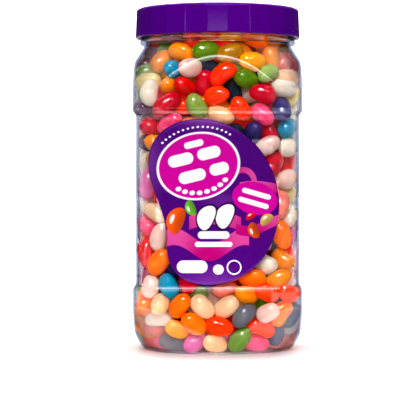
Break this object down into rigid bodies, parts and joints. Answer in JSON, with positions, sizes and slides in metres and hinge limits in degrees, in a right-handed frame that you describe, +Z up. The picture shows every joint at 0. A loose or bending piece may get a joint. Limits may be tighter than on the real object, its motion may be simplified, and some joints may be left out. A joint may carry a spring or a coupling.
{
  "type": "jar of jelly beans",
  "caption": "Clear rounded-square plastic jar with a many-sided purple screw lid and a bean-shaped label, packed full of mixed fruit-coloured jelly beans.",
  "frame": {"origin": "middle of the jar's base, on the surface it stands on", "axes": "+Z up the jar's axis towards the lid, -Y out of the labelled front, +X to the right as seen from the front"},
  "size_m": [0.087, 0.087, 0.1783],
  "materials": {
    "clear_plastic": "glossy clear blown plastic",
    "lid_plastic": "glossy moulded plastic, deep purple",
    "label_film": "semi-gloss printed film",
    "jelly_bean_shell": "polished sugar shell in many colours"
  },
  "bodies": {
    "root": {"jar": "clear_plastic", "lid": "lid_plastic", "label": "label_film", "jelly_beans": "jelly_bean_shell"}
  },
  "joints": []
}
